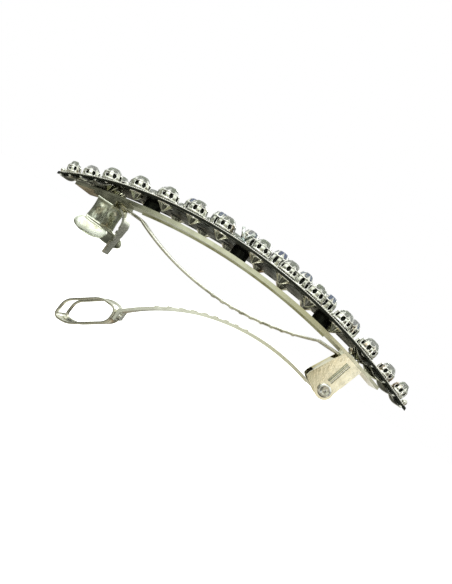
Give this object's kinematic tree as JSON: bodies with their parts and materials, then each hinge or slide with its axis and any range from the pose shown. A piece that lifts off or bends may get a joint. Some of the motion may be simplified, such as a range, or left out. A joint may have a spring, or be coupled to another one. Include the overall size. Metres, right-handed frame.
{
  "type": "rhinestone hair clip",
  "caption": "Sprung barrette under a pointed-oval ornament of cup-set faceted stones, with a hinged clasp arm, bow spring and squeeze-release catch.",
  "frame": {"origin": "middle of the hair space, level with the two points of the ornament", "axes": "+X from the catch to the hinge along the clip, +Y across it to the far long edge, +Z outwards from the head through the ornament"},
  "size_m": [0.091, 0.019, 0.0391],
  "materials": {
    "clear_stone": "faceted pale glass",
    "blue_stone": "faceted pale blue glass",
    "setting_metal": "bright plated, slightly worn",
    "dark_backing": "dark, uneven satin",
    "nickel_plate": "bright nickel with a warm tint",
    "spring_steel": "drawn spring steel",
    "tab_steel": "bright, finely pitted",
    "rivet_steel": "polished"
  },
  "bodies": {
    "root": {"ornament_plate": "dark_backing", "near_row_cups": "setting_metal", "far_row_cups": "setting_metal", "middle_row_cups": "setting_metal", "point_cups": "setting_metal", "near_row_stones": "clear_stone", "far_row_stones": "clear_stone", "middle_row_stones": "blue_stone", "point_stones": "clear_stone", "end_beads": "setting_metal", "near_edge_points": "setting_metal", "far_edge_points": "setting_metal", "near_open_claw": "setting_metal", "far_open_claw": "setting_metal", "left_standoff": "dark_backing", "middle_standoff": "dark_backing", "right_standoff": "dark_backing", "base_bar": "nickel_plate", "hinge_bracket": "nickel_plate", "hinge_rivet": "rivet_steel", "hinge_pin": "rivet_steel", "bow_spring": "spring_steel", "catch_bracket": "nickel_plate", "catch_rivet": "rivet_steel", "catch_hook": "spring_steel"},
    "arm": {"clasp_arm": "spring_steel", "clasp_loop": "spring_steel", "loop_rivet": "rivet_steel"},
    "near_tab": {"near_release_tab": "tab_steel"},
    "far_tab": {"far_release_tab": "tab_steel"}
  },
  "joints": [
    {"name": "arm_hinge", "type": "hinge", "parent": "root", "child": "arm", "pos_m": [0.0298, 0, -0.0075], "axis": [0, 1, 0], "range_deg": [0, 17], "deforming": ["bow_spring"]},
    {"name": "near_tab_squeeze", "type": "hinge", "parent": "root", "child": "near_tab", "pos_m": [-0.03, -0.00375, -0.00086], "axis": [1, 0, 0], "range_deg": [0, 4.5], "stiffness_Nm_per_rad": 0.02},
    {"name": "far_tab_squeeze", "type": "hinge", "parent": "root", "child": "far_tab", "pos_m": [-0.03, 0.00375, -0.00086], "axis": [-1, 0, 0], "range_deg": [0, 4.5], "stiffness_Nm_per_rad": 0.02}
  ]
}
